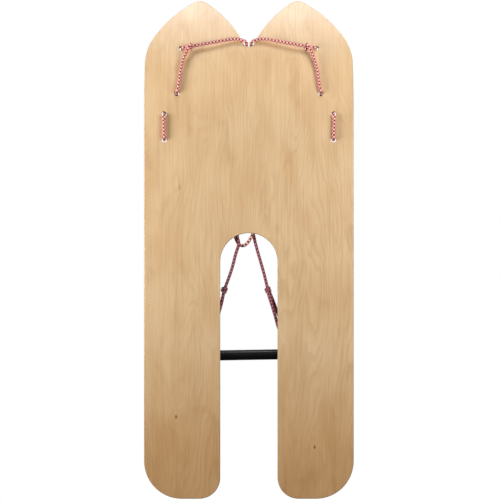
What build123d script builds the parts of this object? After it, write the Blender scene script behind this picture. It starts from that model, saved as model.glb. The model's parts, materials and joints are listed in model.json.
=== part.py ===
"""Wooden toboggan: a thin plywood sheet laced up at the nose, with a rope-held handle bar.

Frame, in millimetres: +Y runs from the tail to the nose, +X is across the board and +Z is
up, with the running surface facing down. The origin is under the middle of the board, on the
plane that the board stands on. The lacing passes under the running surface, so that plane
touches the two side stitches and the board lies one rope thickness above it.
"""

import math
import os

from build123d import *

# ------------------------------------------------------------------ board
board_width = 450.0
board_thickness = 6.5
flat_length = 761.0  # tail to the start of the turned-up nose
nose_bends = ((1420.0, 64.0), (350.0, 150.0), (800.0, 190.0))  # radius, developed length
edge_round = 1.8  # round-over of the outline on both faces

leg_gap = 123.0  # width of the cut-out between the tail legs
leg_gap_depth = 570.0  # tail to the top of the cut-out's arch
leg_outer_corner = 81.0
leg_inner_corner = 45.0

# The lobes are drawn on a plane that touches the running surface at this developed distance
# from the start of the nose. Its first coordinate is across, its second is up the slope.
lobe_plane_at = 271.0
lobe_tip = (108.0, 90.0)
lobe_tip_round = 21.0
lobe_shoulder = (19.0, -20.0)  # in from the board's side, and up the slope
lobe_shoulder_radius = 334.0
lobe_side_start = -92.0  # where the straight side ends
lobe_side_radius = 146.0
notch_root = (0.0, -72.0)
notch_radius = 330.0
notch_root_round = 12.0

# ------------------------------------------------------------------ rope and its holes
rope_diameter = 7.0
rope_clearance = 0.3  # rope to board, and rope to rope
hole_diameter = 11.0
hole_round = 0.8
# across, and developed distance from the start of the nose
hole_front = (146.3, 218.2)
hole_upper = (154.9, 109.5)
hole_stitch_front = (182.3, 64.7)
hole_stitch_rear = (182.0, 9.0)
notch_rope = (4.9, 232.6)  # where the rope crosses the notch

# ------------------------------------------------------------------ handle bar
bar_diameter = 22.0
bar_wall = 2.5
bar_length = 240.0  # over the end plugs
bar_plug_flange = 2.5
bar_plug_spigot = 12.0
plug_clearance = 0.05
bar_distance = 307.5  # tail to the bar's axis
bar_skew = 1.0  # degrees that the bar lies out of square
cross_hole_diameter = 8.4
cross_hole_outer = 100.0
cross_hole_inner = 77.5

# ------------------------------------------------------------------ knots and lacing
knot_radius = 7.5
knot_left = (53.0, -96.0, 17.6)
knot_right = (-41.0, -96.0, 17.6)
stitch_bow = 0.2  # extra drop of the side stitch, under the gently curved sheet
tight_bend = 6.3  # rope's bend through a hole in the board
bar_bend = 5.0  # rope's bend out of a cross hole
hitch_at = 125.0  # across, where the hitch grips the cross run
hitch_clearance = 0.5  # hitch to board

# The free rope's routes, chosen by hand, from the rope's first end to its last.
bridle_route = (
    (4.9, 432.4, 62.8),
    (6.2, 407.0, 51.0),
    (10.0, 371.0, 37.1),
    (15.5, 329.0, 26.0),
    (25.0, 274.0, 19.6),
    (33.5, 205.0, 17.8),
    (37.0, 125.0, 17.8),
    (32.0, 64.0, 18.0),
    (33.5, 35.0, 21.5),
    (29.8, 13.0, 25.4),
    (23.5, -3.0, 25.4),
    (12.0, -9.0, 22.0),
    (1.0, 2.0, 18.6),
    (-7.5, 19.0, 17.6),
    (-16.0, 44.0, 17.6),
    (-19.0, 78.0, 17.8),
    (-24.5, 135.0, 17.8),
    (-19.0, 205.0, 17.8),
    (-14.5, 268.0, 19.4),
    (-8.5, 326.0, 25.4),
    (-7.5, 369.0, 36.5),
    (-5.6, 407.0, 51.0),
    (-4.9, 432.4, 62.8),
)
handle_route = (
    (50.2, -88.7, 17.4),
    (41.0, -64.5, 16.6),
    (33.8, -41.0, 16.3),
    (28.5, -18.0, 16.7),
    (20.3, 4.0, 17.6),
    (25.6, 19.0, 17.6),
    (23.5, 38.0, 17.8),
    (13.0, 52.0, 19.0),
    (0.5, 50.0, 21.6),
    (-6.0, 36.0, 25.2),
    (-11.0, 19.0, 25.2),
    (-14.5, 2.0, 22.6),
    (-21.0, -21.0, 19.6),
    (-27.5, -43.0, 18.0),
    (-34.0, -66.0, 17.3),
    (-39.4, -88.4, 17.5),
)
eye_left_route = (
    (54.2, -104.0, 14.0),
    (57.0, -123.0, 15.0),
    (61.0, -145.0, 18.2),
    (67.5, -172.0, 20.8),
    (74.5, -197.0, 23.6),
    (77.5, -214.0, 25.1),
    (77.5, -253.3, 25.1),
    (100.0, -253.7, 25.1),
    (100.0, -212.0, 25.1),
    (91.0, -185.0, 26.2),
    (77.0, -162.0, 26.4),
    (65.0, -143.0, 25.8),
    (58.0, -123.0, 23.4),
    (54.4, -104.0, 21.4),
)
eye_right_route = (
    (-40.2, -105.2, 14.8),
    (-45.2, -121.0, 15.4),
    (-54.0, -150.0, 16.8),
    (-62.5, -178.0, 19.4),
    (-73.0, -200.0, 23.4),
    (-77.5, -213.0, 25.1),
    (-77.5, -250.6, 25.1),
    (-100.0, -250.2, 25.1),
    (-100.0, -210.0, 25.1),
    (-91.0, -186.0, 25.2),
    (-76.0, -163.0, 23.2),
    (-64.0, -142.0, 21.6),
    (-53.0, -120.0, 21.4),
    (-46.9, -104.6, 20.6),
)

rope_radius = rope_diameter / 2
rope_rise = rope_radius + rope_clearance  # rope's axis above the face it lies on
half_width = board_width / 2
# the cross run's axis below the running surface, with the hitch's rope between them
hitch_drop = rope_diameter + rope_clearance + rope_radius + hitch_clearance
underside = rope_diameter + rope_clearance  # height of the flat running surface


# ------------------------------------------------------------------ shape of the sheet
def nose_point(distance):
    """Running-surface point (y, z) and slope at a developed distance from the nose's start."""
    y, z, slope, travelled = min(distance, 0.0), 0.0, 0.0, 0.0
    for radius, length in nose_bends:
        turn = min(max(distance - travelled, 0.0), length) / radius
        y += radius * (math.sin(slope + turn) - math.sin(slope))
        z += radius * (math.cos(slope) - math.cos(slope + turn))
        slope += turn
        travelled += length
    return y, z, slope


def sheet_point(x, distance, height):
    """A point at a height above the running surface, with the nose starting at Y = 0."""
    y, z, slope = nose_point(distance)
    return Vector(x, y - height * math.sin(slope), z + height * math.cos(slope))


def bent_strip():
    """The full-width sheet, flat and then turned up, before its outline is cut."""
    stops = [0.0]
    for _, length in nose_bends:
        stops.append(stops[-1] + length)

    def face_line(height):
        lines = [Line(sheet_point(0, -flat_length, height), sheet_point(0, 0, height))]
        for start, end in zip(stops, stops[1:]):
            middle = (start + end) / 2
            lines.append(ThreePointArc(*(sheet_point(0, s, height) for s in (start, middle, end))))
        return lines

    bottom = face_line(0.0)
    top = face_line(board_thickness)
    ends = [Line(bottom[0] @ 0, top[0] @ 0), Line(bottom[-1] @ 1, top[-1] @ 1)]
    section = make_face(Wire(bottom + top + ends).edges())
    return extrude(section, half_width, dir=(1, 0, 0), both=True)


def lobe_plane():
    """The plane of the lobes' outline, tangent to the running surface."""
    _, _, slope = nose_point(lobe_plane_at)
    origin = sheet_point(0, lobe_plane_at, 0)
    return Plane(origin, x_dir=(1, 0, 0), z_dir=(0, -math.sin(slope), math.cos(slope)))


def nose_outline():
    """The two pointed lobes and the notch between them, on the lobes' plane."""
    reach = 2 * flat_length
    side = (half_width, lobe_side_start)
    shoulder = (half_width - lobe_shoulder[0], lobe_shoulder[1])
    half = make_face(
        [
            Line((0, -reach), (half_width, -reach)),
            Line((half_width, -reach), side),
            RadiusArc(side, shoulder, -lobe_side_radius),
            RadiusArc(shoulder, lobe_tip, -lobe_shoulder_radius),
            RadiusArc(lobe_tip, notch_root, -notch_radius),
            Line(notch_root, (0, -reach)),
        ]
    )
    outline = half + mirror(half, about=Plane.YZ)
    tips = [v for v in outline.vertices() if abs(v.Y - lobe_tip[1]) < 0.1]
    outline = fillet(tips, lobe_tip_round)
    root = [v for v in outline.vertices() if abs(v.Y - notch_root[1]) < 0.1 and abs(v.X) < 0.1]
    return fillet(root, notch_root_round)


def cut_outline(strip):
    """Cuts the lobes, the notch, the cut-out and the rounded leg ends."""
    reach = 2 * flat_length
    board = strip & (lobe_plane() * extrude(nose_outline(), reach / 2, both=True))
    arch_centre = leg_gap_depth - leg_gap / 2 - flat_length
    gap = Pos(0, arch_centre - reach / 2, 0) * Box(leg_gap, reach, reach)
    gap += Pos(0, arch_centre, 0) * Cylinder(leg_gap / 2, reach)
    board -= gap

    def tail_edges(x):
        return [
            e
            for e in board.edges().filter_by(Axis.Z)
            if abs(abs(e.center().X) - x) < 0.1 and e.center().Y < 1 - flat_length
        ]

    board = fillet(tail_edges(half_width), leg_outer_corner)
    return fillet(tail_edges(leg_gap / 2), leg_inner_corner)


def round_outline(board):
    """Rounds over the outline's edges on the running surface and on the deck."""
    broad = [f for f in board.faces() if f.area > board_width * board_thickness * 2]
    seen = {}
    for face in broad:
        for edge in face.edges():
            seen.setdefault(hash(edge), []).append(edge)
    rim = [edges[0] for edges in seen.values() if len(edges) == 1]
    return fillet(rim, edge_round)


def drill(board):
    """Drills the rope holes square to the sheet and rounds their rims."""
    tool = Cylinder(hole_diameter / 2, board_thickness * 4)
    for x, distance in (hole_front, hole_upper, hole_stitch_front, hole_stitch_rear):
        middle = sheet_point(0, distance, board_thickness / 2)
        tilt = Rot(math.degrees(nose_point(distance)[2]), 0, 0)
        for side in (-1, 1):
            board -= Pos(side * x, middle.Y, middle.Z) * tilt * tool
    walls = [
        face
        for face in board.faces().filter_by(GeomType.CYLINDER)
        if abs(face.radius - hole_diameter / 2) < 0.01
    ]
    rims = [e for face in walls for e in face.edges() if e.geom_type != GeomType.LINE]
    return fillet(rims, hole_round)


# ------------------------------------------------------------------ rope
def rope_tube(name, points, bends=None):
    """A rope along straight runs joined by arcs, each as large as its two runs allow.

    bends gives the radius at a point, by its index, where the rope turns round an edge.
    """
    points = [Vector(*p) for p in points]
    radii = []
    for i in range(1, len(points) - 1):
        before = points[i] - points[i - 1]
        after = points[i + 1] - points[i]
        shorter = min(before.length, after.length)
        turn = math.radians(before.get_angle(after))
        radii.append((bends or {}).get(i, 0.45 * shorter / math.tan(turn / 2)))
    path = FilletPolyline(*points, radius=radii)
    tube = sweep(Plane(path @ 0, z_dir=path % 0) * Circle(rope_radius), path=path)
    ratio = tube.volume / (math.pi * rope_radius**2 * path.length)
    print(f"{name}: {path.length:.0f} mm long, volume ratio {ratio:.4f}, bend radii",
          " ".join(f"{radius:.0f}" for radius in radii))
    return tube


def mirrored(solid):
    """The same solid on the other side of the board."""
    return mirror(solid, about=Plane.YZ)


# ------------------------------------------------------------------ build
def build():
    """Every sub-part by name, in the part's own frame."""
    board = drill(round_outline(cut_outline(bent_strip())))
    middle = board.bounding_box().center().Y
    stand = Vector(0, -middle, underside)
    parts = {"board": Pos(stand) * board}

    below = -rope_rise
    above = board_thickness + rope_rise
    inside = board_thickness / 2

    def lace(*stations):
        return [sheet_point(*station) + stand for station in stations]

    nose = lace(
        (*notch_rope, above),
        (*notch_rope, below),
        (24.0, 242.5, -5.0),
        (72.0, 234.0, -9.5),
        (117.0, 225.7, -hitch_drop),
        (136.0, 222.0, -hitch_drop),
        (*hole_front, below),
        (*hole_front, above),
        (*hole_stitch_rear, above),
        (*hole_stitch_rear, inside),
    )
    nose_bend = {1: tight_bend, 6: tight_bend, 7: tight_bend, 8: tight_bend}
    stitch = lace(
        (*hole_stitch_rear, inside),
        (*hole_stitch_rear, below - stitch_bow),
        (*hole_stitch_front, below - stitch_bow),
        (*hole_stitch_front, inside),
    )
    brace = lace(
        (*hole_stitch_front, inside),
        (*hole_stitch_front, above),
        (*hole_upper, above),
        (*hole_upper, below),
        (151.0, 130.0, below - 0.4),
        (147.3, 160.0, below - 0.5),
        (141.0, 187.0, below - 1.2),
        (132.5, 210.0, -8.5),
    )
    brace_bend = {1: tight_bend, 2: tight_bend, 3: tight_bend}
    lacing = {
        "nose_lacing": rope_tube("nose_lacing", nose, nose_bend)
        + Pos(nose[0]) * Sphere(rope_radius),
        "side_stitch": rope_tube("side_stitch", stitch, {1: tight_bend, 2: tight_bend}),
        "brace_line": rope_tube("brace_line", brace, brace_bend),
    }
    grip = (nose[5] - nose[4]).normalized()
    hitch_centre = nose[4] + grip * (hitch_at - nose[4].X)
    ring = Torus(rope_diameter + rope_clearance, rope_radius)
    lacing["hitch"] = Plane(hitch_centre, z_dir=grip) * ring
    for name, solid in lacing.items():
        parts[name + "_left"] = solid
        parts[name + "_right"] = mirrored(solid)

    parts["bridle_rope"] = rope_tube("bridle_rope", bridle_route)
    parts["handle_rope"] = rope_tube("handle_rope", handle_route)
    eye_bends = {6: bar_bend, 7: bar_bend}
    parts["eye_loop_left"] = rope_tube("eye_loop_left", eye_left_route, eye_bends)
    parts["eye_loop_right"] = rope_tube("eye_loop_right", eye_right_route, eye_bends)
    parts["eye_knot_left"] = Pos(knot_left) * Sphere(knot_radius)
    parts["eye_knot_right"] = Pos(knot_right) * Sphere(knot_radius)

    parts.update(handle_bar(-flat_length - middle + bar_distance))
    print("hinge of the bridle", nose[0])
    return parts


def handle_bar(y):
    """The tube with its cross holes for the rope, and its two end plugs."""
    deck = underside + board_thickness
    place = Pos(0, y, deck + rope_clearance + bar_diameter / 2) * Rot(0, 0, -bar_skew)
    along = Rot(0, 90, 0)
    tube_length = bar_length - 2 * bar_plug_flange
    bore = bar_diameter / 2 - bar_wall
    tube = along * (Cylinder(bar_diameter / 2, tube_length) - Cylinder(bore, tube_length))
    for x in (cross_hole_inner, cross_hole_outer):
        for side in (-1, 1):
            hole = Rot(90, 0, 0) * Cylinder(cross_hole_diameter / 2, bar_diameter * 2)
            tube -= Pos(side * x, 0, 0) * hole
    flange_edge = tube_length / 2
    plug = Pos(0, 0, flange_edge + bar_plug_flange / 2) * Cylinder(bar_diameter / 2, bar_plug_flange)
    plug = fillet(plug.edges().sort_by(Axis.Z)[-1], bar_plug_flange / 2)
    spigot = Cylinder(bore - plug_clearance, bar_plug_spigot)
    plug += Pos(0, 0, flange_edge - bar_plug_spigot / 2) * spigot
    return {
        "handle_tube": place * tube,
        "end_plug_left": place * along * plug,
        "end_plug_right": place * Rot(0, -90, 0) * plug,
    }


os.makedirs("parts", exist_ok=True)
for part_name, part_solid in build().items():
    export_step(part_solid, f"parts/{part_name}.step")
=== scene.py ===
"""Wooden toboggan: a laced plywood sheet, its braided rope and its handle bar.

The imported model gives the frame. The sheet, the bar's tube and its plugs keep the frame's
meshes and get their finish here. Every length of rope is made here, as a braided tube.
"""

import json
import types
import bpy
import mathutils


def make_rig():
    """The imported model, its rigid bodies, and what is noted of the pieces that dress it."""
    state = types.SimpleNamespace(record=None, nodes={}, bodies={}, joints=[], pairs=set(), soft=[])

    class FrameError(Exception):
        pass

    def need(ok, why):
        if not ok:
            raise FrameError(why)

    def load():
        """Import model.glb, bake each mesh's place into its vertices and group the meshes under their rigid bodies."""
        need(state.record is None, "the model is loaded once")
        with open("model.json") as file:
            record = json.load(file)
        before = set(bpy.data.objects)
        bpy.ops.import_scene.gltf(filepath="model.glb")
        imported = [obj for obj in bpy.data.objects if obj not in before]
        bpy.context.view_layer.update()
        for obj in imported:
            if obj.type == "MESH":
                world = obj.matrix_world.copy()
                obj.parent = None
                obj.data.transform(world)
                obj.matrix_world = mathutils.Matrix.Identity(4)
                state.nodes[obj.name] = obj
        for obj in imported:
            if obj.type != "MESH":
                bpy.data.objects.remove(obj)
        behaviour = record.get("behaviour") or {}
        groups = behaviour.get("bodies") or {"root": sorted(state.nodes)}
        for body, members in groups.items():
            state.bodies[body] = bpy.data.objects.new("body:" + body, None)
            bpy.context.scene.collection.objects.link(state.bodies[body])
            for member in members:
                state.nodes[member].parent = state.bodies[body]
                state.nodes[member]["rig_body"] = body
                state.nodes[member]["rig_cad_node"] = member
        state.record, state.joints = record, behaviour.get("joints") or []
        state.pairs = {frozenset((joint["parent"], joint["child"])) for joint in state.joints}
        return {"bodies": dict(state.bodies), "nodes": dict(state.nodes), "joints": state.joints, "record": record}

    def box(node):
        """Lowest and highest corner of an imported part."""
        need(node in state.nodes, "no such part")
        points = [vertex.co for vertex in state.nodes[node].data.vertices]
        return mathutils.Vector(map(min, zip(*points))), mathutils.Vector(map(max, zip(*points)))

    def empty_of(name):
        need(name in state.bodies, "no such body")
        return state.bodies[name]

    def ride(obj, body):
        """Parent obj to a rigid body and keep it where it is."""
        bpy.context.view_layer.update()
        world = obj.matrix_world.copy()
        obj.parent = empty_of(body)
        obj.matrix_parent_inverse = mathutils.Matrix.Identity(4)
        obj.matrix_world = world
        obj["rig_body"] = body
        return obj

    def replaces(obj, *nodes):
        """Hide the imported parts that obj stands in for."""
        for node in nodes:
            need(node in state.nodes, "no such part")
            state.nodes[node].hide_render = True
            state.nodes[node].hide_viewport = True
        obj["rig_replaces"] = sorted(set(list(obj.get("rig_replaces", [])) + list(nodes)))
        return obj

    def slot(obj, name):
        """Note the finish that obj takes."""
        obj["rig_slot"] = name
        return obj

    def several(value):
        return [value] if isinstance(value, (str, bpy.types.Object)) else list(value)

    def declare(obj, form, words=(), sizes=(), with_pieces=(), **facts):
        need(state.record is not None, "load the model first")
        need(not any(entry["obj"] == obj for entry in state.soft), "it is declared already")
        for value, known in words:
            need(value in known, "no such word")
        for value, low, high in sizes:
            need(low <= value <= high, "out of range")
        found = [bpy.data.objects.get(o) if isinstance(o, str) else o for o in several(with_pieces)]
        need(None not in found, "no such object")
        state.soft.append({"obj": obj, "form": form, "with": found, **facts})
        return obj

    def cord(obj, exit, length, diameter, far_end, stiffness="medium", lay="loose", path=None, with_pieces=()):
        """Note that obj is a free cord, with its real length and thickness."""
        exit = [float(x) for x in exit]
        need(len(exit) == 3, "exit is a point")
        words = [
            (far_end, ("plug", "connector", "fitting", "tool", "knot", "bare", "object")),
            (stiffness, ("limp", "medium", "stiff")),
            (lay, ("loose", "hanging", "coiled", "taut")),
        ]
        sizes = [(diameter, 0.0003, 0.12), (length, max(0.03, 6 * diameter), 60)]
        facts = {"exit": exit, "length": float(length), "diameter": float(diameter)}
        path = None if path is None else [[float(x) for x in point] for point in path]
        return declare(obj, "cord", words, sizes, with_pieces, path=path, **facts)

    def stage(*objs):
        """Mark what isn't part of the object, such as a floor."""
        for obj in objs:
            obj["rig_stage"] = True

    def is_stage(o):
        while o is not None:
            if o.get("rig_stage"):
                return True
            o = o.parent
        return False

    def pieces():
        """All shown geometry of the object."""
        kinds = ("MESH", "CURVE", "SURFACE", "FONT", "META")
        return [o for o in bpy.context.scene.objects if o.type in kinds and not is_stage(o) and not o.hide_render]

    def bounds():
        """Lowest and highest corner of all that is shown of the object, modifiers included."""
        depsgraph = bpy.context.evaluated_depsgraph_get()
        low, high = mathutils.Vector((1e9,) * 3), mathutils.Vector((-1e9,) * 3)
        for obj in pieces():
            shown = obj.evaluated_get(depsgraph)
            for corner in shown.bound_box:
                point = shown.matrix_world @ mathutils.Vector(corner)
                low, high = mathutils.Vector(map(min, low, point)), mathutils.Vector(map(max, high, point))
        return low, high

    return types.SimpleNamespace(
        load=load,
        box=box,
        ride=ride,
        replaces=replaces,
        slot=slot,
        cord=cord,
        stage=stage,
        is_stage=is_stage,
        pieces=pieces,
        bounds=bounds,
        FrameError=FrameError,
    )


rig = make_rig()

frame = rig.load()
CAD_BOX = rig.bounds()

import json
import logging
import math
from dataclasses import dataclass, field
from enum import Enum
from typing import Iterator, Sequence, Union

import bmesh
import bpy
from mathutils import Matrix, Vector

log = logging.getLogger("toboggan")
Point = tuple[float, float, float]
Colour = tuple[float, float, float, float]
Number = Union[float, "Signal"]


class Slot(Enum):
    """The record's material slots."""

    PLYWOOD = "plywood"
    ROPE = "rope"
    BAR = "bar"
    PLUG = "plug"


class Body(Enum):
    """The bodies that pieces ride on."""

    BOARD = "board"
    REINS = "reins"
    HANDLE = "handle"


class Side(Enum):
    """The two halves of the board, with the sign of their X."""

    LEFT = 1.0
    RIGHT = -1.0


# ---------------------------------------------------------------- shader maths
class Signal:
    """A number that varies over a surface. Arithmetic on it adds Math nodes."""

    def __init__(self, recipe: "Recipe", socket: bpy.types.NodeSocket) -> None:
        """Wraps a socket.

        Args:
            recipe: the material that the socket belongs to.
            socket: an output that carries one number.
        """
        self.recipe = recipe
        self.socket = socket

    def apply(self, operation: str, *operands: Number) -> "Signal":
        """Adds one Math node.

        Args:
            operation: the node's operation.
            operands: its inputs, in order.

        Returns:
            The node's result.
        """
        values = dict(enumerate(operands))
        node = self.recipe.node("ShaderNodeMath", {"operation": operation}, values)
        return Signal(self.recipe, node.outputs[0])

    def __add__(self, other: Number) -> "Signal":
        """Sum."""
        return self.apply("ADD", self, other)

    def __sub__(self, other: Number) -> "Signal":
        """Difference."""
        return self.apply("SUBTRACT", self, other)

    def __rsub__(self, other: Number) -> "Signal":
        """Difference from a plain number."""
        return self.apply("SUBTRACT", other, self)

    def __mul__(self, other: Number) -> "Signal":
        """Product."""
        return self.apply("MULTIPLY", self, other)

    def __truediv__(self, other: Number) -> "Signal":
        """Quotient."""
        return self.apply("DIVIDE", self, other)

    def __rtruediv__(self, other: Number) -> "Signal":
        """Quotient of a plain number."""
        return self.apply("DIVIDE", other, self)

    def __pow__(self, other: Number) -> "Signal":
        """Power."""
        return self.apply("POWER", self, other)

    def __gt__(self, other: Number) -> "Signal":
        """1 where this is greater, and 0 elsewhere."""
        return self.apply("GREATER_THAN", self, other)

    __radd__ = __add__
    __rmul__ = __mul__

    def fraction(self) -> "Signal":
        """The part after the whole number."""
        return self.apply("FRACT", self)

    def floor(self) -> "Signal":
        """The whole number below."""
        return self.apply("FLOOR", self)

    def absolute(self) -> "Signal":
        """The size without its sign."""
        return self.apply("ABSOLUTE", self)

    def sine(self) -> "Signal":
        """Sine of an angle in radians."""
        return self.apply("SINE", self)

    def arctangent(self) -> "Signal":
        """Angle in radians of a slope."""
        return self.apply("ARCTANGENT", self)

    def root(self) -> "Signal":
        """Square root."""
        return self.apply("SQRT", self)

    def bell(self) -> "Signal":
        """exp(-x), for soft round spots."""
        return self.apply("EXPONENT", self * -1.0)

    def lower(self, other: Number) -> "Signal":
        """The lower of this and another number."""
        return self.apply("MINIMUM", self, other)

    def step(self, low: float, high: float) -> "Signal":
        """Smooth rise from 0 to 1.

        Args:
            low: where the rise starts, or where a fall ends if it is the higher.
            high: where the rise ends.

        Returns:
            A number from 0 to 1.
        """
        values = {"Value": self, "From Min": low, "From Max": high}
        settings = {"interpolation_type": "SMOOTHSTEP"}
        node = self.recipe.node("ShaderNodeMapRange", settings, values)
        return Signal(self.recipe, node.outputs[0])

    def choose(self, yes: Number, no: Number) -> "Signal":
        """Picks a number by this mask.

        Args:
            yes: the number where the mask is 1.
            no: the number where the mask is 0.

        Returns:
            The picked number.
        """
        return self * (yes - no) + no


class Recipe:
    """A material's node tree, written one node at a time."""

    def __init__(self, name: str) -> None:
        """Starts a material with one Principled shader.

        Args:
            name: the material's name.
        """
        self.material = bpy.data.materials.new(name)
        self.material.use_nodes = True
        self.tree = self.material.node_tree
        self.tree.nodes.clear()
        self.shader = self.tree.nodes.new("ShaderNodeBsdfPrincipled")
        self.output = self.tree.nodes.new("ShaderNodeOutputMaterial")
        self.tree.links.new(self.shader.outputs[0], self.output.inputs["Surface"])

    def feed(self, node: bpy.types.Node, inputs: dict) -> None:
        """Gives a node's sockets their links or their values.

        Args:
            node: the node.
            inputs: links, signals or plain values, by socket name or number.
        """
        for key, value in inputs.items():
            source = value.socket if isinstance(value, Signal) else value
            if isinstance(source, bpy.types.NodeSocket):
                self.tree.links.new(source, node.inputs[key])
            else:
                node.inputs[key].default_value = source

    def node(self, kind: str, settings: dict, inputs: dict) -> bpy.types.Node:
        """Adds any node.

        Args:
            kind: the node's type.
            settings: its properties, which are set before its sockets.
            inputs: its sockets' links or values.

        Returns:
            The new node.
        """
        node = self.tree.nodes.new(kind)
        for key, value in settings.items():
            setattr(node, key, value)
        self.feed(node, inputs)
        return node

    def place(self) -> tuple[Signal, Signal, Signal]:
        """The shaded point's X, Y and Z, in metres in the frame."""
        point = self.node("ShaderNodeTexCoord", {}, {}).outputs["Object"]
        parts = self.node("ShaderNodeSeparateXYZ", {}, {0: point})
        return tuple(Signal(self, output) for output in parts.outputs)

    def noise(self, x: Number, y: Number, z: Number, detail: float = 2.0) -> Signal:
        """Smooth noise that changes over a distance of about 1.

        Args:
            x: first coordinate.
            y: second coordinate.
            z: third coordinate.
            detail: how many finer layers are added.

        Returns:
            A number around 0.5.
        """
        vector = self.node("ShaderNodeCombineXYZ", {}, {0: x, 1: y, 2: z}).outputs[0]
        values = {"Vector": vector, "Scale": 1.0, "Detail": detail}
        return Signal(self, self.node("ShaderNodeTexNoise", {}, values).outputs[0])

    def blend(
        self, factor: Number, first: object, second: object, mode: str = "MIX"
    ) -> bpy.types.NodeSocket:
        """Mixes two colours.

        Args:
            factor: share of the second colour.
            first: a colour or a link to one.
            second: a colour or a link to one.
            mode: the Mix node's blend type.

        Returns:
            The mixed colour.
        """
        settings = {"data_type": "RGBA", "blend_type": mode}
        return self.node("ShaderNodeMix", settings, {0: factor, 6: first, 7: second}).outputs[2]

    def bump(self, height: Signal, depth: float, strength: float = 1.0) -> bpy.types.NodeSocket:
        """Turns a height into a normal.

        Args:
            height: from 0 to 1.
            depth: metres from 0 to 1.
            strength: share of the effect.

        Returns:
            The normal.
        """
        values = {"Strength": strength, "Distance": depth, "Height": height}
        return self.node("ShaderNodeBump", {}, values).outputs[0]


# ---------------------------------------------------------------- the bent sheet's shape
@dataclass(frozen=True)
class Bend:
    """One arc of the turned-up nose, along the running surface."""

    radius: float
    length: float


@dataclass(frozen=True)
class Arc:
    """A bend in its place: where it starts, and its centre in the board's mid plane."""

    bend: Bend
    distance: float
    slope: float
    start: tuple[float, float]
    centre: tuple[float, float]


@dataclass
class Sheet:
    """The bent sheet as a surface, on which lacing and grain are laid out."""

    tail: float
    underside: float
    thickness: float = 0.0065
    flat_length: float = 0.761
    bends: tuple[Bend, ...] = (Bend(1.42, 0.064), Bend(0.35, 0.15), Bend(0.8, 0.19))

    def arcs(self) -> Iterator[Arc]:
        """Yields the nose's bends in their places, from the flat part outwards."""
        y, z = self.tail + self.flat_length, self.underside
        distance, slope = 0.0, 0.0
        for bend in self.bends:
            centre = (y - bend.radius * math.sin(slope), z + bend.radius * math.cos(slope))
            yield Arc(bend, distance, slope, (y, z), centre)
            distance += bend.length
            slope += bend.length / bend.radius
            y = centre[0] + bend.radius * math.sin(slope)
            z = centre[1] - bend.radius * math.cos(slope)

    def point(self, x: float, distance: float, height: float) -> Vector:
        """A point by its place on the sheet.

        Args:
            x: across the board.
            distance: along the running surface, from the start of the nose.
            height: above the running surface.

        Returns:
            The point in the frame.
        """
        y, z, slope = self.tail + self.flat_length + min(distance, 0.0), self.underside, 0.0
        for arc in self.arcs():
            if distance > arc.distance:
                reach = min(distance - arc.distance, arc.bend.length)
                slope = arc.slope + reach / arc.bend.radius
                y = arc.centre[0] + arc.bend.radius * math.sin(slope)
                z = arc.centre[1] - arc.bend.radius * math.cos(slope)
        return Vector((x, y - height * math.sin(slope), z + height * math.cos(slope)))

    def signals(self, recipe: Recipe) -> tuple[Signal, Signal, Signal]:
        """The shaded point's place on the sheet.

        Args:
            recipe: the material that asks.

        Returns:
            X, distance along the running surface, and height above it.
        """
        x, y, z = recipe.place()
        height = z - self.underside
        distance = y - (self.tail + self.flat_length)
        for arc in self.arcs():
            inwards = arc.centre[1] - z
            onwards = y - arc.centre[0]
            reach = (inwards * inwards + onwards * onwards).root()
            turn = (onwards / inwards).arctangent() - arc.slope
            beyond = y > arc.start[0]
            height = beyond.choose(arc.bend.radius - reach, height)
            distance = beyond.choose(turn * arc.bend.radius + arc.distance, distance)
        return x, distance, height


# ---------------------------------------------------------------- finishes
@dataclass(frozen=True)
class Figure:
    """A tall oval in the grain, or a knot that the grain bends round."""

    x: float
    distance: float
    width: float
    length: float
    rise: float


@dataclass(frozen=True)
class Grain:
    """Noise drawn out along the board, and how strongly it shows."""

    across: float
    along: float
    seed: float
    detail: float
    low: float = 0.0
    high: float = 1.0
    strength: float = 1.0
    shift: float = 0.0

    def noise(self, recipe: Recipe, place: tuple[Signal, Signal, Signal]) -> Signal:
        """Adds the noise.

        Args:
            recipe: the material.
            place: across the board, along it, and the side's own number.

        Returns:
            A number around 0.5.
        """
        x, distance, leaf = place
        across = x * self.across + self.shift
        return recipe.noise(across, distance * self.along, leaf * self.seed, self.detail)

    def mask(self, noise: Signal) -> Signal:
        """Turns the noise into a share of a colour."""
        return noise.step(self.low, self.high) * self.strength


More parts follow.
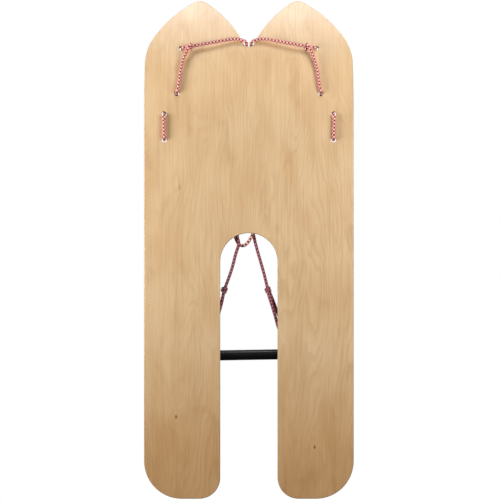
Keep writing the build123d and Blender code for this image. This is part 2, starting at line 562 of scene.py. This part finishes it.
@dataclass(frozen=True)
class PlywoodFinish:
    """Pale rotary-cut veneer under satin varnish, with its plies showing at every edge, and painted shade on its
    rounded edges and towards the tail.
    """

    sheet: Sheet
    pale: Colour = (0.80, 0.560, 0.315, 1.0)
    honey: Colour = (0.70, 0.450, 0.225, 1.0)
    line: Colour = (0.48, 0.27, 0.12, 1.0)
    blush: Colour = (0.56, 0.32, 0.145, 1.0)
    knot: Colour = (0.16, 0.075, 0.03, 1.0)
    # Painted shade: a darker, warmer colour multiplied over the tail end, standing in for light that falls off towards
    # the tail.
    tail_painted_shade: Colour = (0.87, 0.74, 0.60, 1.0)
    # Painted shade: dark colour laid on the rounded edges, where the sideways-facing round-over falls into shade.
    rim: Colour = (0.20, 0.135, 0.09, 1.0)
    long_ply: Colour = (0.56, 0.40, 0.24, 1.0)
    cross_ply: Colour = (0.30, 0.19, 0.105, 1.0)
    glue: Colour = (0.13, 0.075, 0.04, 1.0)
    ply: float = 0.0013
    glue_line: float = 0.00012
    drift: Grain = Grain(9.0, 1.6, 3.1, 3.0, 0.2, 0.7, 0.24)
    waver: Grain = Grain(160.0, 22.0, 1.0, 2.0)
    streak: Grain = Grain(420.0, 5.0, 2.3, 2.0, 0.46, 0.72, 0.22)
    pore: Grain = Grain(2300.0, 60.0, 1.7, 2.0, 0.56, 0.76, 0.13)
    cloud: Grain = Grain(24.0, 7.5, 5.0, 4.0, 0.34, 0.70, 0.75)
    tint: Grain = Grain(34.0, 13.0, 4.0, 4.0, 0.54, 0.74, 0.34, shift=7.0)
    scuff: Grain = Grain(45.0, 9.0, 1.0, 4.0)
    drift_depth: float = 3.2
    rings_across: float = 14.0
    rings_per_step: float = 7.0
    # Where along the board the painted tail shade begins and where it is full, and how strongly it darkens.
    tail_shade_from: float = -0.40
    tail_shade_to: float = -0.70
    tail_shade_share: float = 0.96
    figures: tuple[Figure, ...] = (
        Figure(0.092, 0.12, 0.030, 0.13, 1.0),
        Figure(-0.115, 0.10, 0.036, 0.15, 0.9),
        Figure(-0.02, -0.30, 0.05, 0.30, -0.6),
        Figure(0.13, -0.52, 0.035, 0.20, 0.7),
    )
    knots: tuple[Figure, ...] = (
        Figure(0.156, -0.585, 0.0022, 0.0040, 0.9),
        Figure(-0.141, -0.650, 0.0019, 0.0036, 1.0),
        Figure(0.148, -0.093, 0.0022, 0.0060, 0.35),
        Figure(0.001, 0.136, 0.0022, 0.0030, 0.14),
    )

    def veneer(
        self, recipe: Recipe, x: Signal, distance: Signal, leaf: Signal
    ) -> tuple[bpy.types.NodeSocket, Signal]:
        """Colours the broad faces.

        Args:
            recipe: the material.
            x: across the board.
            distance: along the board.
            leaf: tells the deck's veneer from the running surface's.

        Returns:
            The colour, and the pores' pattern for the bump.
        """
        place = (x, distance, leaf)
        drift = self.drift.noise(recipe, place)
        field_of_rings = drift * self.drift_depth + x * self.rings_across
        for oval in self.figures:
            across = (x - oval.x) / oval.width
            along = (distance - oval.distance) / oval.length
            field_of_rings += (across * across + along * along).bell() * oval.rise
        spots: Number = 0.0
        for knot in self.knots:
            across = (x - knot.x) / knot.width
            along = (distance - knot.distance) / knot.length
            square = across * across + along * along
            field_of_rings += (square * 0.06).bell() * (0.35 * knot.rise)
            spots = (square ** 1.5).bell() * knot.rise + spots
        waver = self.waver.noise(recipe, place)
        rings = (field_of_rings * self.rings_per_step + waver * 0.35).fraction()
        ring = rings.step(0.35, 0.93) * (1.0 - rings.step(0.93, 1.0))
        streak = self.streak.noise(recipe, place)
        pores = self.pore.noise(recipe, place)
        cloud = self.cloud.noise(recipe, place)
        tint = self.tint.noise(recipe, place)
        colour = recipe.blend(self.cloud.mask(cloud), self.pale, self.honey)
        colour = recipe.blend(self.tint.mask(tint), colour, self.blush)
        colour = recipe.blend(ring * self.drift.mask(drift), colour, self.line)
        colour = recipe.blend(self.streak.mask(streak), colour, self.line)
        colour = recipe.blend(self.pore.mask(pores), colour, self.line)
        # Painted shade: the wood is made darker and warmer towards the tail, for light that falls off there.
        tail_shade = distance.step(self.tail_shade_from, self.tail_shade_to) * self.tail_shade_share
        colour = recipe.blend(tail_shade, colour, self.tail_painted_shade, "MULTIPLY")
        colour = recipe.blend(Signal.lower(spots, 1.0), colour, self.knot)
        return colour, pores

    def edge(
        self, recipe: Recipe, x: Signal, distance: Signal, height: Signal
    ) -> bpy.types.NodeSocket:
        """Colours the sawn edge, ply by ply.

        Args:
            recipe: the material.
            x: across the board.
            distance: along the board.
            height: above the running surface.

        Returns:
            The colour.
        """
        layer = height / self.ply
        cross = (layer.floor() * 0.5).fraction() > 0.25
        seam = ((layer.fraction() - 0.5).absolute() - 0.5).absolute() * self.ply
        fibre = recipe.noise(x * 700.0, distance * 700.0, layer * 0.7, 3.0)
        colour = recipe.blend(cross, self.long_ply, self.cross_ply)
        colour = recipe.blend(fibre.step(0.4, 0.75) * 0.45, colour, self.glue)
        return recipe.blend(seam.step(self.glue_line, 0.0) * 0.7, colour, self.glue)

    def make(self) -> bpy.types.Material:
        """The finished material."""
        recipe = Recipe("plywood")
        x, distance, height = self.sheet.signals(recipe)
        leaf = height > self.sheet.thickness / 2
        colour, pores = self.veneer(recipe, x, distance, leaf + 1.0)
        depth = height.lower(self.sheet.thickness - height)
        # Painted shade: the round-over between each face and the sawn edge is darkened.
        colour = recipe.blend(depth.step(0.00015, 0.0009) * 0.85, colour, self.rim)
        sawn = self.edge(recipe, x, distance, height)
        colour = recipe.blend(depth.step(0.0011, 0.0014), colour, sawn)
        scuff = self.scuff.noise(recipe, (x, distance, leaf))
        recipe.feed(recipe.shader, {
            "Base Color": colour,
            "Roughness": scuff * 0.16 + depth.step(0.0004, 0.0013) * 0.25 + 0.30,
            "Normal": recipe.bump(pores, 0.00005, 0.5),
            "Coat Weight": 0.5,
            "Coat Roughness": 0.32,
            "IOR": 1.5,
        })
        return recipe.material


@dataclass(frozen=True)
class BraidFinish:
    """Braided cord whose red and white strands meet in checks, read from the rope's own UV map, with painted shade in
    the grooves between yarns and strands.

    The map's U is the length along the rope in metres and its V is the turn round it.
    """

    name: str
    white: Colour
    pink: Colour
    red: Colour
    # Deep red of the checks where two red strands cross; it is also the painted shade in the grooves.
    dark: Colour = (0.07, 0.004, 0.009, 1.0)
    strands: int = 8
    cell: float = 0.0019
    yarns: int = 3

    def make(self) -> bpy.types.Material:
        """The finished material."""
        recipe = Recipe(self.name)
        spot = recipe.node("ShaderNodeUVMap", {"uv_map": "Braid"}, {}).outputs[0]
        parts = recipe.node("ShaderNodeSeparateXYZ", {}, {0: spot})
        length, turn = (Signal(recipe, parts.outputs[i]) for i in (0, 1))
        rising = turn * self.strands + length / self.cell
        falling = turn * self.strands - length / self.cell + 2.0
        over = ((rising.floor() + falling.floor()) * 0.5).fraction().step(0.2, 0.3)
        first = (rising.floor() * 0.25).fraction() > 0.4
        second = (falling.floor() * 0.25).fraction() > 0.4
        across = over.choose(falling, rising)
        along = over.choose(rising, falling)
        yarn = ((across * (math.pi * self.yarns)).sine()).absolute()
        rim = (across.fraction() - 0.5).absolute() * 2.0
        tuck_shade = (along.fraction() - 0.5).absolute() * 2.0
        fuzz = recipe.noise(length * 2600.0, turn * 60.0, 0.0, 3.0)
        mixed = recipe.blend(over.choose(second, first), self.white, self.red)
        both = first * second
        either = first + second - both
        colour = recipe.blend((either - both) * 0.85, mixed, self.pink)
        colour = recipe.blend(both * fuzz.step(0.25, 0.6) * 0.8, colour, self.dark)
        # Painted shade: the gaps between yarns are darkened.
        colour = recipe.blend((1.0 - yarn.step(0.0, 0.5)) * 0.30, colour, self.pink, "MULTIPLY")
        # Painted shade: the grooves at each strand's edges and where it tucks under the next are darkened.
        colour = recipe.blend(rim.step(0.78, 1.0) * 0.35, colour, self.dark)
        colour = recipe.blend(tuck_shade.step(0.80, 1.0) * 0.2, colour, self.dark)
        recipe.feed(recipe.shader, {
            "Base Color": colour,
            "Roughness": fuzz * 0.2 + 0.62,
            "Normal": recipe.bump(yarn * 0.6 + fuzz * 0.5, 0.00018, 0.7),
            "Sheen Weight": 0.25,
            "Sheen Roughness": 0.45,
        })
        return recipe.material


LACED_ROPE = BraidFinish(
    "laced_rope",
    white=(0.95, 0.85, 0.76, 1.0), pink=(0.82, 0.15, 0.13, 1.0), red=(0.38, 0.005, 0.012, 1.0),
)
# Painted shade: a darker copy of the laced rope's colours, standing in for the board's shade over the handle rope, its
# eyes and its knots.
SHADED_HANDLE_ROPE = BraidFinish(
    "handle_rope",
    white=(0.52, 0.26, 0.30, 1.0), pink=(0.30, 0.030, 0.062, 1.0), red=(0.12, 0.004, 0.012, 1.0),
)


@dataclass(frozen=True)
class BlackFinish:
    """Satin black plastic, drawn along X on the tube or finely spark-eroded on a plug."""

    name: str
    drawn: bool
    roughness: float
    black: Colour = (0.0020, 0.0020, 0.0024, 1.0)
    rubbed: Colour = (0.008, 0.008, 0.0085, 1.0)

    def make(self) -> bpy.types.Material:
        """The finished material."""
        recipe = Recipe(self.name)
        x, y, z = recipe.place()
        stretch = 18.0 if self.drawn else 2600.0
        lines = recipe.noise(x * stretch, y * 1800.0, z * 1800.0, 2.0)
        worn = recipe.noise(x * 38.0, y * 90.0, z * 90.0, 4.0)
        recipe.feed(recipe.shader, {
            "Base Color": recipe.blend(worn.step(0.5, 0.8) * 0.5, self.black, self.rubbed),
            "Roughness": worn * 0.14 + lines * 0.10 + self.roughness,
            "Normal": recipe.bump(lines, 0.00003, 0.6),
        })
        return recipe.material


# ---------------------------------------------------------------- rope
class RopeEnd(Enum):
    """How a length of rope is closed."""

    FLAT = "flat"
    ROUND = "round"


@dataclass
class BraidedRope:
    """Makes lengths of one braided rope, with the strands as real relief."""

    finish: BraidFinish
    diameter: float = 0.007
    relief: float = 0.00042
    facets: int = 4
    settle: float = 0.06
    merge: float = 0.00002
    strands: int = field(init=False)
    cell: float = field(init=False)
    material: bpy.types.Material = field(init=False)

    def __post_init__(self) -> None:
        """Makes the finish that every length shares."""
        self.strands, self.cell = self.finish.strands, self.finish.cell
        self.material = self.finish.make()

    @staticmethod
    def smooth_line(name: str, points: Sequence[Sequence[float]]) -> list[Vector]:
        """Reads the smooth line that a NURBS spline makes of a route.

        Args:
            name: the route's name.
            points: the route's points.

        Returns:
            Points close together on the line.
        """
        curve = bpy.data.curves.new(name + "_line", "CURVE")
        curve.dimensions = "3D"
        curve.resolution_u = 20
        spline = curve.splines.new("NURBS")
        spline.points.add(len(points) - 1)
        for knot, point in zip(spline.points, points):
            knot.co = (*point, 1.0)
        spline.order_u = 3
        spline.use_endpoint_u = True
        holder = bpy.data.objects.new(name + "_line", curve)
        mesh = bpy.data.meshes.new_from_object(holder)
        line = [vertex.co.copy() for vertex in mesh.vertices]
        bpy.data.objects.remove(holder)
        bpy.data.curves.remove(curve)
        bpy.data.meshes.remove(mesh)
        return line

    @staticmethod
    def space_out(line: Sequence[Vector], step: float) -> list[Vector]:
        """Spaces points evenly on a line.

        Args:
            line: the line's own points.
            step: about how far apart the new ones lie.

        Returns:
            The new points, the line's two ends among them.
        """
        runs = [(b - a).length for a, b in zip(line, line[1:])]
        total = sum(runs)
        count = max(round(total / step), 4)
        spaced, index, passed = [line[0].copy()], 0, 0.0
        for number in range(1, count):
            target = total * number / count
            while passed + runs[index] < target:
                passed += runs[index]
                index += 1
            spaced.append(line[index].lerp(line[index + 1], (target - passed) / runs[index]))
        return spaced + [line[-1].copy()]

    def frames(self, line: Sequence[Vector]) -> list[tuple[Vector, Vector]]:
        """Carries a pair of cross directions along a line, turning slowly back to level.

        Args:
            line: evenly spaced points.

        Returns:
            Two unit directions square to the line at each point, the first facing down.
        """
        last = len(line) - 1
        found = []
        facing = Vector((0.0, 0.0, -1.0))
        for number in range(last + 1):
            tangent = (line[min(number + 1, last)] - line[max(number - 1, 0)]).normalized()
            if not found and abs(tangent.z) > 0.9:
                facing = Vector((0.0, 1.0, 0.0))
            down = Vector((0.0, 0.0, -1.0))
            down -= tangent * down.dot(tangent)
            facing -= tangent * facing.dot(tangent)
            facing += down * (self.settle * down.length)
            facing.normalize()
            found.append((facing.copy(), facing.cross(tangent)))
        return found

    def lift(self, turn: float, cell: float) -> float:
        """Height of the strands' relief.

        Args:
            turn: place round the rope, from 0 to 1.
            cell: place along the rope, in crossings.

        Returns:
            0 in the grooves to 1 on the crown of a strand.
        """
        rising = turn * self.strands + cell
        falling = turn * self.strands - cell + 2.0
        over = (math.floor(rising + 1e-6) + math.floor(falling + 1e-6)) % 2 == 0
        across, along = (rising, falling) if over else (falling, rising)
        crown = abs(math.sin(math.pi * across)) ** 0.6
        return crown * (0.55 + 0.45 * abs(math.sin(math.pi * along)))

    def make(
        self,
        name: str,
        points: Sequence[Sequence[float]],
        ends: tuple[RopeEnd, RopeEnd] = (RopeEnd.FLAT, RopeEnd.FLAT),
    ) -> tuple[bpy.types.Object, list[Vector]]:
        """Makes one length of rope.

        Args:
            name: the piece's name.
            points: its route's points.
            ends: how its first and last ends are closed.

        Returns:
            The piece, and the line that it follows.
        """
        step = self.cell / self.facets
        line = self.space_out(self.smooth_line(name, points), step)
        directions = self.frames(line)
        rings, around = len(line) - 1, self.strands * self.facets
        radius = self.diameter / 2
        sheet = bmesh.new()
        braid = sheet.loops.layers.uv.new("Braid")
        bmesh.ops.create_grid(sheet, x_segments=rings, y_segments=around, size=0.5)
        places = {}
        for vertex in sheet.verts:
            places[vertex.index] = (
                round((vertex.co.x + 0.5) * rings), round((vertex.co.y + 0.5) * around)
            )
        for face in sheet.faces:
            for loop in face.loops:
                ring, facet = places[loop.vert.index]
                loop[braid].uv = (ring * step, facet / around)
        for vertex in sheet.verts:
            ring, facet = places[vertex.index]
            angle = 2.0 * math.pi * facet / around
            first, second = directions[ring]
            reach = radius - self.relief * (1.0 - self.lift(facet / around, ring / self.facets))
            for end, gap in zip(ends, (ring * step, (rings - ring) * step)):
                if end is RopeEnd.ROUND and gap < radius:
                    reach *= math.sqrt(max(1.0 - (1.0 - gap / radius) ** 2, 0.0))
            outwards = first * math.cos(angle) + second * math.sin(angle)
            vertex.co = line[ring] + outwards * reach
        bmesh.ops.remove_doubles(sheet, verts=sheet.verts, dist=self.merge)
        rims = [edge for edge in sheet.edges if edge.is_boundary]
        if rims:
            bmesh.ops.holes_fill(sheet, edges=rims, sides=0)
        bmesh.ops.recalc_face_normals(sheet, faces=sheet.faces)
        mesh = bpy.data.meshes.new(name)
        sheet.to_mesh(mesh)
        sheet.free()
        mesh.shade_smooth()
        piece = bpy.data.objects.new(name, mesh)
        bpy.context.scene.collection.objects.link(piece)
        piece.data.materials.append(self.material)
        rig.slot(piece, Slot.ROPE.value)
        return piece, line


def mirrored(points: Sequence[Sequence[float]], side: Side) -> list[Point]:
    """A route on one side of the board.

    Args:
        points: the route on the left side.
        side: the side that is wanted.

    Returns:
        The route's points on that side.
    """
    return [(point[0] * side.value, point[1], point[2]) for point in points]


@dataclass
class FreeRope:
    """The slack rope on the deck: the bridle, the handle rope and the bar's two eyes."""

    bridle_cord: BraidedRope
    handle_cord: BraidedRope
    bridle_length: float = 0.91
    handle_length: float = 0.30
    eye_length: float = 0.33
    bridle_route: tuple[Point, ...] = (
        (0.0049, 0.4346, 0.0638),
        (0.0062, 0.4070, 0.0510),
        (0.0100, 0.3710, 0.0371),
        (0.0155, 0.3290, 0.0260),
        (0.0250, 0.2740, 0.0196),
        (0.0335, 0.2050, 0.0178),
        (0.0370, 0.1250, 0.0178),
        (0.0320, 0.0640, 0.0180),
        (0.0335, 0.0350, 0.0215),
        (0.0296, 0.0170, 0.0254),
        (0.0232, 0.0030, 0.0254),
        (0.0120, -0.0028, 0.0220),
        (0.0010, 0.0066, 0.0186),
        (-0.0078, 0.0215, 0.0176),
        (-0.0160, 0.0440, 0.0176),
        (-0.0190, 0.0780, 0.0178),
        (-0.0245, 0.1350, 0.0178),
        (-0.0190, 0.2050, 0.0178),
        (-0.0145, 0.2680, 0.0194),
        (-0.0085, 0.3260, 0.0254),
        (-0.0075, 0.3690, 0.0365),
        (-0.0056, 0.4070, 0.0510),
        (-0.0049, 0.4346, 0.0638),
    )
    handle_route: tuple[Point, ...] = (
        (0.0520, -0.0935, 0.0175),
        (0.0410, -0.0645, 0.0166),
        (0.0338, -0.0410, 0.0163),
        (0.0285, -0.0180, 0.0167),
        (0.0203, 0.0040, 0.0176),
        (0.0256, 0.0190, 0.0176),
        (0.0235, 0.0380, 0.0178),
        (0.0130, 0.0520, 0.0190),
        (0.0005, 0.0500, 0.0216),
        (-0.0060, 0.0360, 0.0252),
        (-0.0110, 0.0190, 0.0252),
        (-0.0145, 0.0020, 0.0226),
        (-0.0210, -0.0210, 0.0196),
        (-0.0275, -0.0430, 0.0180),
        (-0.0340, -0.0660, 0.0173),
        (-0.0405, -0.0935, 0.0175),
    )
    eye_left_route: tuple[Point, ...] = (
        (0.0536, -0.0990, 0.0150),
        (0.0580, -0.1230, 0.0168),
        (0.0645, -0.1450, 0.0184),
        (0.0705, -0.1720, 0.0208),
        (0.0755, -0.1970, 0.0236),
        (0.0775, -0.2140, 0.0251),
        (0.0775, -0.2400, 0.0251),
        (0.0775, -0.2533, 0.0251),
        (0.1000, -0.2537, 0.0251),
        (0.1000, -0.2400, 0.0251),
        (0.1000, -0.2120, 0.0251),
        (0.0910, -0.1850, 0.0262),
        (0.0770, -0.1620, 0.0264),
        (0.0660, -0.1430, 0.0260),
        (0.0586, -0.1230, 0.0241),
        (0.0538, -0.0990, 0.0205),
    )
    eye_right_route: tuple[Point, ...] = (
        (-0.0402, -0.0995, 0.0155),
        (-0.0472, -0.1210, 0.0154),
        (-0.0560, -0.1500, 0.0172),
        (-0.0632, -0.1780, 0.0196),
        (-0.0730, -0.2000, 0.0234),
        (-0.0775, -0.2130, 0.0251),
        (-0.0775, -0.2380, 0.0251),
        (-0.0775, -0.2506, 0.0251),
        (-0.1000, -0.2502, 0.0251),
        (-0.1000, -0.2380, 0.0251),
        (-0.1000, -0.2100, 0.0251),
        (-0.0860, -0.1870, 0.0256),
        (-0.0692, -0.1640, 0.0248),
        (-0.0604, -0.1420, 0.0229),
        (-0.0528, -0.1200, 0.0216),
        (-0.0440, -0.0995, 0.0200),
    )

    def cord(
        self, rope: BraidedRope, name: str, route: Sequence[Point], length: float, body: Body
    ) -> bpy.types.Object:
        """Makes and declares one free cord.

        Args:
            rope: what it is cut from.
            name: the cord's node.
            route: its points.
            length: its real length.
            body: what it rides on.

        Returns:
            The piece.
        """
        piece, line = rope.make(name + "_braid", route)
        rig.ride(piece, body.value)
        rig.replaces(piece, name)
        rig.cord(
            piece, exit=route[0], length=length, diameter=rope.diameter,
            far_end="object", stiffness="limp", lay="loose", path=line,
        )
        return piece

    def build(self) -> list[bpy.types.Object]:
        """Makes the four lengths."""
        bridle, handle = self.bridle_cord, self.handle_cord
        reins, bar, eye = Body.REINS, Body.HANDLE, self.eye_length
        return [
            self.cord(bridle, "bridle_rope", self.bridle_route, self.bridle_length, reins),
            self.cord(handle, "handle_rope", self.handle_route, self.handle_length, reins),
            self.cord(handle, "eye_loop_left", self.eye_left_route, eye, bar),
            self.cord(handle, "eye_loop_right", self.eye_right_route, eye, bar),
        ]


@dataclass
class EyeKnots:
    """The overhand knot that closes each eye of the handle rope."""

    tight_rope: BraidedRope
    ring: float = 0.0031
    tube: float = 0.0026
    flatten: float = 0.9
    stretch: float = 1.15
    lean: float = 20.0
    lobes: int = 3
    winds: int = 2
    points: int = 24

    def build(self) -> list[bpy.types.Object]:
        """Makes both knots, each as one overhand loop pulled tight."""
        pieces = []
        for side in Side:
            node = "eye_knot_" + side.name.lower()
            low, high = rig.box(node)
            centre = (low + high) / 2
            lean = Matrix.Rotation(math.radians(self.lean * side.value), 3, "Z")
            route = []
            for number in range(self.points + 1):
                angle = 2.0 * math.pi * number / self.points
                reach = self.ring + self.tube * math.cos(self.lobes * angle)
                spot = Vector((
                    reach * math.cos(self.winds * angle),
                    reach * math.sin(self.winds * angle) * self.stretch,
                    self.tube * self.flatten * math.sin(self.lobes * angle),
                ))
                route.append(centre + lean @ spot)
            piece, _ = self.tight_rope.make(node + "_braid", route, (RopeEnd.ROUND, RopeEnd.ROUND))
            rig.ride(piece, Body.REINS.value)
            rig.replaces(piece, node)
            pieces.append(piece)
        return pieces


@dataclass
class Lacing:
    """The rope that holds the nose up: cross run, side stitch, brace line and hitch.

    Each station is a place on the sheet: across, along from the nose's start, and above the
    running surface. The left side is listed, and the right side is its mirror image.
    """

    rope: BraidedRope
    sheet: Sheet
    cross_run: tuple[Point, ...] = (
        (0.0049, 0.2326, 0.0103),
        (0.0049, 0.2326, 0.0040),
        (0.0052, 0.2322, -0.0016),
        (0.0082, 0.2332, -0.0042),
        (0.0148, 0.2362, -0.0048),
        (0.0266, 0.2392, -0.0056),
        (0.0450, 0.2362, -0.0067),
        (0.0680, 0.2302, -0.0075),
        (0.0950, 0.2240, -0.0082),
        (0.1140, 0.2198, -0.0086),
        (0.1270, 0.2164, -0.0086),
        (0.1365, 0.2162, -0.0070),
        (0.1424, 0.2174, -0.0040),
        (0.1446, 0.2180, 0.0010),
        (0.1448, 0.2180, 0.0084),
    )
    bowstring: tuple[Point, Point] = ((0.1462, 0.2168, 0.0108), (0.1820, 0.0110, 0.0108))
    rear_hole: tuple[Point, ...] = ((0.1821, 0.0092, 0.0085), (0.1820, 0.0100, 0.0030))
    lead: float = 0.006
    stitch: tuple[Point, ...] = (
        (0.1820, 0.0100, 0.0032),
        (0.1820, 0.0108, -0.0024),
        (0.1820, 0.0155, -0.0038),
        (0.1822, 0.0260, -0.0038),
        (0.1826, 0.0480, -0.0038),
        (0.1823, 0.0582, -0.0038),
        (0.1823, 0.0629, -0.0024),
        (0.1823, 0.0637, 0.0032),
    )
    brace: tuple[Point, ...] = (
        (0.1823, 0.0637, 0.0030),
        (0.1822, 0.0653, 0.0085),
        (0.1800, 0.0710, 0.0105),
        (0.1690, 0.0870, 0.0104),
        (0.1576, 0.1035, 0.0105),
        (0.1552, 0.1092, 0.0085),
        (0.1549, 0.1112, 0.0020),
        (0.1546, 0.1124, -0.0030),
        (0.1532, 0.1185, -0.0044),
        (0.1503, 0.1360, -0.0042),
        (0.1476, 0.1600, -0.0045),
        (0.1430, 0.1830, -0.0056),
        (0.1370, 0.1990, -0.0088),
        (0.1322, 0.2075, -0.0128),
        (0.1288, 0.2130, -0.0150),
        (0.1264, 0.2185, -0.0138),
        (0.1250, 0.2215, -0.0088),
        (0.1242, 0.2195, -0.0042),
        (0.1240, 0.2145, -0.0036),
        (0.1250, 0.2095, -0.0046),
    )

    def places(self, stations: Sequence[Point]) -> list[Vector]:
        """The stations' points in the frame."""
        return [self.sheet.point(*station) for station in stations]

    def nose_route(self) -> list[Vector]:
        """Cross run, then straight over the hollow deck to the rear stitch hole."""
        front, rear = self.places(self.bowstring)
        pull = (rear - front).normalized() * self.lead
        taut = [front, front + pull, rear - pull, rear]
        return self.places(self.cross_run) + taut + self.places(self.rear_hole)

    def lay(
        self, name: str, points: Sequence[Vector], nodes: Sequence[str], side: Side,
        ends: tuple[RopeEnd, RopeEnd],
    ) -> bpy.types.Object:
        """Makes one length on one side.

        Args:
            name: what the length is called.
            points: its route on the left side.
            nodes: the nodes that it stands for, without their side.
            side: the side that it is on.
            ends: how its ends are closed.

        Returns:
            The piece.
        """
        hand = "_" + side.name.lower()
        piece, _ = self.rope.make(name + hand + "_braid", mirrored(points, side), ends)
        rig.ride(piece, Body.BOARD.value)
        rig.replaces(piece, *(node + hand for node in nodes))
        return piece

    def build(self) -> list[bpy.types.Object]:
        """Makes the lacing of both sides."""
        flat, rounded = RopeEnd.FLAT, RopeEnd.ROUND
        stitch, brace = self.places(self.stitch), self.places(self.brace)
        pieces = []
        for side in Side:
            pieces += [
                self.lay("nose_lacing", self.nose_route(), ["nose_lacing"], side, (rounded, flat)),
                self.lay("side_stitch", stitch, ["side_stitch"], side, (flat, flat)),
                self.lay("brace_line", brace, ["brace_line", "hitch"], side, (flat, rounded)),
            ]
        return pieces


# ---------------------------------------------------------------- the frame's own pieces
@dataclass
class Hardware:
    """The sheet, the handle tube and its plugs, which keep their meshes."""

    sheet: Sheet

    def dress(self) -> list[bpy.types.Object]:
        """Gives each its finish."""
        plywood = PlywoodFinish(self.sheet).make()
        tube = BlackFinish("handle_bar", drawn=True, roughness=0.24).make()
        plug = BlackFinish("end_plug", drawn=False, roughness=0.42).make()
        finishes = {
            "board": plywood, "handle_tube": tube,
            "end_plug_left": plug, "end_plug_right": plug,
        }
        pieces = []
        for node, material in finishes.items():
            piece = frame["nodes"][node]
            for slot in piece.material_slots:
                slot.material = material
            pieces.append(piece)
        return pieces


# ---------------------------------------------------------------- studio
@dataclass
class Lamp:
    """One soft rectangular light."""

    name: str
    place: Point
    target: Point
    size: tuple[float, float]
    power: float

    def build(self) -> None:
        """Hangs the light in its place, turned to its target."""
        data = bpy.data.lights.new(self.name, "AREA")
        data.shape = "RECTANGLE"
        data.size, data.size_y = self.size
        data.energy = self.power
        lamp = bpy.data.objects.new(self.name, data)
        lamp.location = self.place
        aim = Vector(self.target) - Vector(self.place)
        lamp.rotation_euler = aim.to_track_quat("-Z", "Y").to_euler()
        lamp.visible_camera = False
        bpy.context.scene.collection.objects.link(lamp)


@dataclass
class Studio:
    """Camera, pale floor, white surroundings and soft lights."""

    camera_place: Point = (-0.0024, -0.0101, -2.9927)
    lens: float = 100.73
    floor_size: float = 8.0
    floor_drop: float = 0.0006
    surround: float = 0.05
    lamps: tuple[Lamp, ...] = (
        Lamp("nose_light", (0.0, 3.2, -0.25), (0.0, 0.35, 0.05), (2.4, 0.9), 57.0),
        Lamp("left_light", (1.3, 0.2, -0.5), (0.0, 0.1, 0.0), (0.7, 0.5), 22.0),
        Lamp("right_light", (-1.1, 0.35, -0.9), (0.0, 0.1, 0.0), (0.8, 0.8), 18.0),
        Lamp("deck_key", (-1.3, 1.4, 2.6), (0.0, 0.0, 0.0), (1.6, 1.6), 60.0),
        Lamp("deck_fill", (1.8, -1.6, 2.2), (0.0, 0.0, 0.0), (2.0, 2.0), 30.0),
    )

    def camera(self) -> None:
        """Sets the camera under the board, looking straight up at its running surface."""
        data = bpy.data.cameras.new("camera")
        data.sensor_width = 36.0
        data.lens = self.lens
        camera = bpy.data.objects.new("camera", data)
        camera.location = self.camera_place
        camera.rotation_euler = (0.0, math.pi, 0.0)
        bpy.context.scene.collection.objects.link(camera)
        bpy.context.scene.camera = camera

    def floor(self) -> bpy.types.Object:
        """Lays a pale floor that is seen from above only."""
        sheet = bmesh.new()
        bmesh.ops.create_grid(sheet, x_segments=1, y_segments=1, size=self.floor_size / 2)
        bmesh.ops.translate(sheet, verts=sheet.verts, vec=(0.0, 0.0, -self.floor_drop))
        mesh = bpy.data.meshes.new("floor")
        sheet.to_mesh(mesh)
        sheet.free()
        floor = bpy.data.objects.new("floor", mesh)
        bpy.context.scene.collection.objects.link(floor)
        recipe = Recipe("pale_floor")
        recipe.feed(recipe.shader, {"Base Color": (0.82, 0.82, 0.81, 1.0), "Roughness": 0.9})
        behind = recipe.node("ShaderNodeNewGeometry", {}, {}).outputs["Backfacing"]
        clear = recipe.node("ShaderNodeBsdfTransparent", {}, {}).outputs[0]
        front = recipe.shader.outputs[0]
        mixed = recipe.node("ShaderNodeMixShader", {}, {0: behind, 1: front, 2: clear}).outputs[0]
        recipe.feed(recipe.output, {"Surface": mixed})
        mesh.materials.append(recipe.material)
        floor.visible_shadow = False
        floor.visible_diffuse = False
        floor.visible_glossy = False
        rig.stage(floor)
        return floor

    def surroundings(self) -> None:
        """Makes the white surroundings, softer as a light than as a backdrop."""
        world = bpy.data.worlds.new("surroundings")
        world.use_nodes = True
        tree = world.node_tree
        tree.nodes.clear()
        path = tree.nodes.new("ShaderNodeLightPath")
        output = tree.nodes.new("ShaderNodeOutputWorld")
        mix = tree.nodes.new("ShaderNodeMixShader")
        tree.links.new(path.outputs["Is Camera Ray"], mix.inputs[0])
        for socket, strength in ((1, self.surround), (2, 1.0)):
            light = tree.nodes.new("ShaderNodeBackground")
            light.inputs["Color"].default_value = (1.0, 1.0, 1.0, 1.0)
            light.inputs["Strength"].default_value = strength
            tree.links.new(light.outputs[0], mix.inputs[socket])
        tree.links.new(mix.outputs[0], output.inputs["Surface"])
        bpy.context.scene.world = world

    def build(self) -> None:
        """Makes everything but the camera."""
        self.surroundings()
        self.floor()
        for lamp in self.lamps:
            lamp.build()
        bpy.context.scene.view_settings.view_transform = "Standard"


def main() -> None:
    """Builds the toboggan and its studio, and reports every piece."""
    logging.basicConfig(level=logging.INFO, format="%(name)s: %(message)s")
    studio = Studio()
    studio.camera()
    low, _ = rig.box("board")
    laced = BraidedRope(LACED_ROPE)
    # The handle rope, its eyes and its knots take the darker copy of the rope's colours: painted shade.
    shaded_rope = BraidedRope(SHADED_HANDLE_ROPE)
    pulled_tight = BraidedRope(SHADED_HANDLE_ROPE, diameter=0.0060)
    sheet = Sheet(tail=low.y, underside=low.z)
    pieces = FreeRope(laced, shaded_rope).build()
    pieces += EyeKnots(pulled_tight).build()
    pieces += Lacing(laced, sheet).build()
    pieces += Hardware(sheet).dress()
    studio.build()
    for piece in pieces:
        log.info("%s: %d faces", piece.name, len(piece.data.polygons))
    boxes = {"cad": CAD_BOX, "visual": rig.bounds()}
    with open("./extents.json", "w") as file:
        json.dump({name: [list(corner) for corner in box] for name, box in boxes.items()}, file)


if __name__ == "__main__":
    main()
